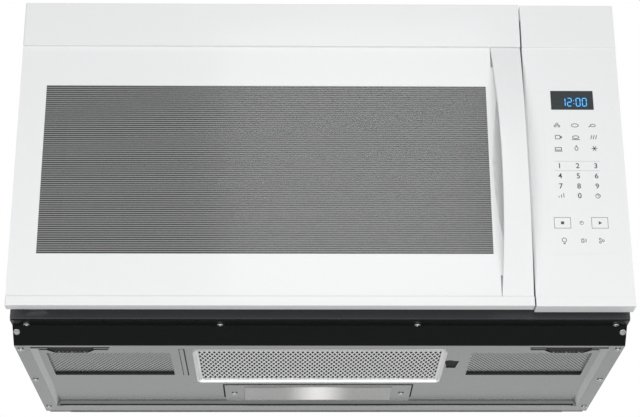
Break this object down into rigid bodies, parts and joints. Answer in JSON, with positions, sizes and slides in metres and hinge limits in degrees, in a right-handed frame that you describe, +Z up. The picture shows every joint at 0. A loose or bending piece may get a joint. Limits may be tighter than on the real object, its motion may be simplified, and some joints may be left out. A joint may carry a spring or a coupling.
{
  "type": "over-the-range microwave oven",
  "caption": "White over-the-range microwave oven with a side-hinged windowed door, bowed grip bar, membrane control panel and a vented underside with grease filter and worktop light.",
  "frame": {"origin": "on the wall behind the appliance (the wall plate's back face), mid-width, level with the underside's lowest flange", "axes": "+X to the right as seen from the front, +Y into the wall (the front faces -Y), +Z up"},
  "size_m": [0.76, 0.394, 0.4396],
  "materials": {
    "white_moulding": "glossy moulded white",
    "window": "tinted, printed with fine lines",
    "clear_film": "clear",
    "display": "dark smoked",
    "overlay": "satin film with printed keys",
    "zinc_sheet": "zinc-coated sheet",
    "white_enamel": "baked enamel",
    "dark_enamel": "dark grey baked enamel",
    "body_paint": "painted sheet",
    "black_paint": "satin black",
    "filter_alloy": "bright",
    "lens": "frosted",
    "screw": "bright zinc",
    "lamp": "frosted bulb in a socket",
    "tray_glass": "clear",
    "dark_plastic": "moulded black",
    "grey_plastic": "moulded grey",
    "pale_plastic": "moulded pale grey",
    "mica": "mica sheet",
    "circuit": "green board",
    "iron_core": "varnished laminations",
    "carbon": "carbon pad in a frame",
    "rubber": "black"
  },
  "bodies": {
    "cabinet": {"wall_plate": "zinc_sheet", "rear_panel": "zinc_sheet", "cabinet_wrap": "body_paint", "front_frame": "dark_enamel", "vent_grille": "pale_plastic", "front_valance": "black_paint", "base_plate": "zinc_sheet", "air_deck": "zinc_sheet", "underside_screws": "screw", "light_cover": "zinc_sheet", "light_lens": "lens", "light_screws": "screw", "worktop_lamp": "lamp", "hinge_arms": "zinc_sheet", "control_fascia": "white_moulding", "display_window": "display", "keypad_overlay": "overlay", "panel_carrier": "grey_plastic", "control_board": "circuit", "oven_cavity": "white_enamel", "guide_cover": "mica", "wave_guide": "zinc_sheet", "magnetron": "zinc_sheet", "power_transformer": "iron_core", "hv_capacitor": "zinc_sheet", "fan_shroud": "zinc_sheet", "fan_motor": "iron_core", "turntable_motor": "zinc_sheet", "blower_housing": "zinc_sheet", "blower_motor": "iron_core", "carbon_filter": "carbon", "oven_lamp": "lamp", "interlock_block": "dark_plastic", "cord_gland": "rubber"},
    "door": {"door_bezel": "white_moulding", "door_grip": "white_moulding", "window_glass": "window", "door_tray": "dark_enamel", "window_screen": "black_paint", "choke_panel": "dark_enamel", "choke_cover": "dark_plastic", "window_film": "clear_film", "latch_spring": "screw", "hinge_pins": "screw"},
    "latch": {"latch_slide": "pale_plastic"},
    "filter": {"filter_frame": "filter_alloy", "filter_mesh": "filter_alloy"},
    "coupler": {"turntable_coupler": "pale_plastic"},
    "tray": {"glass_tray": "tray_glass"},
    "ring": {"roller_ring": "pale_plastic"},
    "wheel_1": {"roller_1": "pale_plastic"},
    "wheel_2": {"roller_2": "pale_plastic"},
    "wheel_3": {"roller_3": "pale_plastic"},
    "blower": {"blower_wheels": "dark_plastic"},
    "fan": {"fan_blade": "dark_plastic"},
    "flap": {"damper_flap": "zinc_sheet"}
  },
  "joints": [
    {"name": "door_hinge", "type": "hinge", "parent": "cabinet", "child": "door", "pos_m": [-0.368, -0.365, 0.2], "axis": [0, 0, -1], "range_deg": [0, 105]},
    {"name": "latch_lift", "type": "slide", "parent": "door", "child": "latch", "axis": [0, 0, 1], "range_m": [0, 0.005], "stiffness_N_per_m": 300, "springref_m": -0.01, "deforming": ["latch_spring"]},
    {"name": "filter_pull", "type": "slide", "parent": "cabinet", "child": "filter", "axis": [0, 0, -1], "range_m": [0, 0.06]},
    {"name": "coupler_spin", "type": "hinge", "parent": "cabinet", "child": "coupler", "pos_m": [-0.069, -0.17775, 0.07], "axis": [0, 0, 1], "continuous": true},
    {"name": "tray_lift", "type": "slide", "parent": "coupler", "child": "tray", "axis": [0, 0, 1], "range_m": [0, 0.03]},
    {"name": "ring_spin", "type": "hinge", "parent": "cabinet", "child": "ring", "pos_m": [-0.069, -0.17775, 0.077], "axis": [0, 0, 1], "continuous": true},
    {"name": "wheel_1_spin", "type": "hinge", "parent": "ring", "child": "wheel_1", "pos_m": [0.02522, -0.12335, 0.0773], "axis": [0.866, 0.5, 0], "continuous": true},
    {"name": "wheel_2_spin", "type": "hinge", "parent": "ring", "child": "wheel_2", "pos_m": [-0.16322, -0.12335, 0.0773], "axis": [-0.866, 0.5, 0], "continuous": true},
    {"name": "wheel_3_spin", "type": "hinge", "parent": "ring", "child": "wheel_3", "pos_m": [-0.069, -0.28655, 0.0773], "axis": [0, -1, 0], "continuous": true},
    {"name": "blower_spin", "type": "hinge", "parent": "cabinet", "child": "blower", "pos_m": [0, -0.06875, 0.381], "axis": [1, 0, 0], "continuous": true},
    {"name": "fan_spin", "type": "hinge", "parent": "cabinet", "child": "fan", "pos_m": [0.2905, -0.07575, 0.25], "axis": [0, 1, 0], "continuous": true},
    {"name": "damper_flap_hinge", "type": "hinge", "parent": "cabinet", "child": "flap", "pos_m": [0, -0.0325, 0.433], "axis": [-1, 0, 0], "range_deg": [0, 70]}
  ],
  "couplings": [
    {"joint": "ring_spin", "follows": "coupler_spin", "ratio": 0.5},
    {"joint": "wheel_1_spin", "follows": "coupler_spin", "ratio": -7.7714},
    {"joint": "wheel_2_spin", "follows": "coupler_spin", "ratio": -7.7714},
    {"joint": "wheel_3_spin", "follows": "coupler_spin", "ratio": -7.7714}
  ]
}
